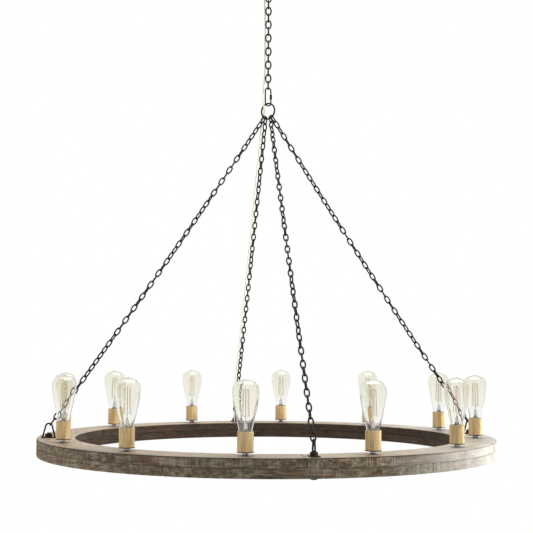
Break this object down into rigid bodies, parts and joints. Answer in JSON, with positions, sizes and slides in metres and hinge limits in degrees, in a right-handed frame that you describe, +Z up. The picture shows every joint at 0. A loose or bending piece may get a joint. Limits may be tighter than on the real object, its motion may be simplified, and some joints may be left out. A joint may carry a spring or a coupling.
{
  "type": "wagon wheel chandelier",
  "caption": "Round laminated wooden rim hung on link chains from a ceiling canopy, with clear filament bulbs standing in pale wooden candle sleeves.",
  "frame": {"origin": "the ceiling plane, midway between the two screws of the ceiling crossbar, on the line of the top chain", "axes": "+Z up, towards the ceiling; +X along the crossbar, towards the right bracket; -Y towards the front bracket"},
  "size_m": [1.2599, 1.2598, 1.3784],
  "materials": {
    "weathered_wood": "weathered and sawn, grey-brown, waxed",
    "pale_wood": "smooth light maple, thin clear varnish",
    "dark_iron": "dark bronze, satin, oiled look",
    "chrome_stem": "polished",
    "cap_brass": "bright pressed sheet",
    "clear_glass": "clear with a slight gold tint",
    "holder_plastic": "moulded, matt",
    "steel": "zinc plated",
    "cord_jacket": "translucent pale gold cable jacket",
    "wire_jacket": "plain cable jacket"
  },
  "bodies": {
    "ceiling_fitting": {"canopy": "dark_iron", "crossbar": "steel", "canopy_nipple": "steel", "locknut": "steel", "canopy_collar": "dark_iron", "ceiling_loop": "dark_iron"},
    "upper_link": {"first_link": "dark_iron", "cord_top": "cord_jacket"},
    "hanging_wheel": {"rim_upper_segments": "weathered_wood", "rim_lower_segments": "weathered_wood", "wiring_harness": "wire_jacket", "socket_stems": "chrome_stem", "socket_discs": "dark_iron", "socket_sleeves": "pale_wood", "lampholders": "holder_plastic", "bracket_plates": "dark_iron", "bracket_bails": "dark_iron", "bracket_bolts": "dark_iron", "bracket_washers": "dark_iron", "bracket_nuts": "dark_iron", "chain_left": "dark_iron", "chain_back": "dark_iron", "chain_front": "dark_iron", "chain_right": "dark_iron", "top_chain": "dark_iron", "gathering_ring": "dark_iron", "quick_link": "dark_iron", "cord_bend": "cord_jacket", "cord_run": "cord_jacket", "cord_bush": "holder_plastic"},
    "link_nut": {"quick_link_nut": "dark_iron"},
    "bulb_01": {"bulb_glass_01": "clear_glass", "bulb_base_01": "cap_brass"},
    "bulb_02": {"bulb_glass_02": "clear_glass", "bulb_base_02": "cap_brass"},
    "bulb_03": {"bulb_glass_03": "clear_glass", "bulb_base_03": "cap_brass"},
    "bulb_04": {"bulb_glass_04": "clear_glass", "bulb_base_04": "cap_brass"},
    "bulb_05": {"bulb_glass_05": "clear_glass", "bulb_base_05": "cap_brass"},
    "bulb_06": {"bulb_glass_06": "clear_glass", "bulb_base_06": "cap_brass"},
    "bulb_07": {"bulb_glass_07": "clear_glass", "bulb_base_07": "cap_brass"},
    "bulb_08": {"bulb_glass_08": "clear_glass", "bulb_base_08": "cap_brass"},
    "bulb_09": {"bulb_glass_09": "clear_glass", "bulb_base_09": "cap_brass"},
    "bulb_10": {"bulb_glass_10": "clear_glass", "bulb_base_10": "cap_brass"},
    "bulb_11": {"bulb_glass_11": "clear_glass", "bulb_base_11": "cap_brass"},
    "bulb_12": {"bulb_glass_12": "clear_glass", "bulb_base_12": "cap_brass"}
  },
  "joints": [
    {"name": "swing_side", "type": "hinge", "parent": "ceiling_fitting", "child": "upper_link", "pos_m": [0, 0, -0.0645], "axis": [0.1882, 0.9821, 0], "range_deg": [-30, 30], "deforming": ["cord_top"]},
    {"name": "swing_fore", "type": "hinge", "parent": "upper_link", "child": "hanging_wheel", "pos_m": [0, 0, -0.08385], "axis": [0.9821, -0.1882, 0], "range_deg": [-30, 30], "deforming": ["cord_bend"]},
    {"name": "nut_travel", "type": "slide", "parent": "hanging_wheel", "child": "link_nut", "axis": [0, 0, 1], "range_m": [0, 0.008]},
    {"name": "bulb_01_screw", "type": "slide", "parent": "hanging_wheel", "child": "bulb_01", "axis": [0, 0, 1], "range_m": [0, 0.03]},
    {"name": "bulb_02_screw", "type": "slide", "parent": "hanging_wheel", "child": "bulb_02", "axis": [0, 0, 1], "range_m": [0, 0.03]},
    {"name": "bulb_03_screw", "type": "slide", "parent": "hanging_wheel", "child": "bulb_03", "axis": [0, 0, 1], "range_m": [0, 0.03]},
    {"name": "bulb_04_screw", "type": "slide", "parent": "hanging_wheel", "child": "bulb_04", "axis": [0, 0, 1], "range_m": [0, 0.03]},
    {"name": "bulb_05_screw", "type": "slide", "parent": "hanging_wheel", "child": "bulb_05", "axis": [0, 0, 1], "range_m": [0, 0.03]},
    {"name": "bulb_06_screw", "type": "slide", "parent": "hanging_wheel", "child": "bulb_06", "axis": [0, 0, 1], "range_m": [0, 0.03]},
    {"name": "bulb_07_screw", "type": "slide", "parent": "hanging_wheel", "child": "bulb_07", "axis": [0, 0, 1], "range_m": [0, 0.03]},
    {"name": "bulb_08_screw", "type": "slide", "parent": "hanging_wheel", "child": "bulb_08", "axis": [0, 0, 1], "range_m": [0, 0.03]},
    {"name": "bulb_09_screw", "type": "slide", "parent": "hanging_wheel", "child": "bulb_09", "axis": [0, 0, 1], "range_m": [0, 0.03]},
    {"name": "bulb_10_screw", "type": "slide", "parent": "hanging_wheel", "child": "bulb_10", "axis": [0, 0, 1], "range_m": [0, 0.03]},
    {"name": "bulb_11_screw", "type": "slide", "parent": "hanging_wheel", "child": "bulb_11", "axis": [0, 0, 1], "range_m": [0, 0.03]},
    {"name": "bulb_12_screw", "type": "slide", "parent": "hanging_wheel", "child": "bulb_12", "axis": [0, 0, 1], "range_m": [0, 0.03]}
  ]
}
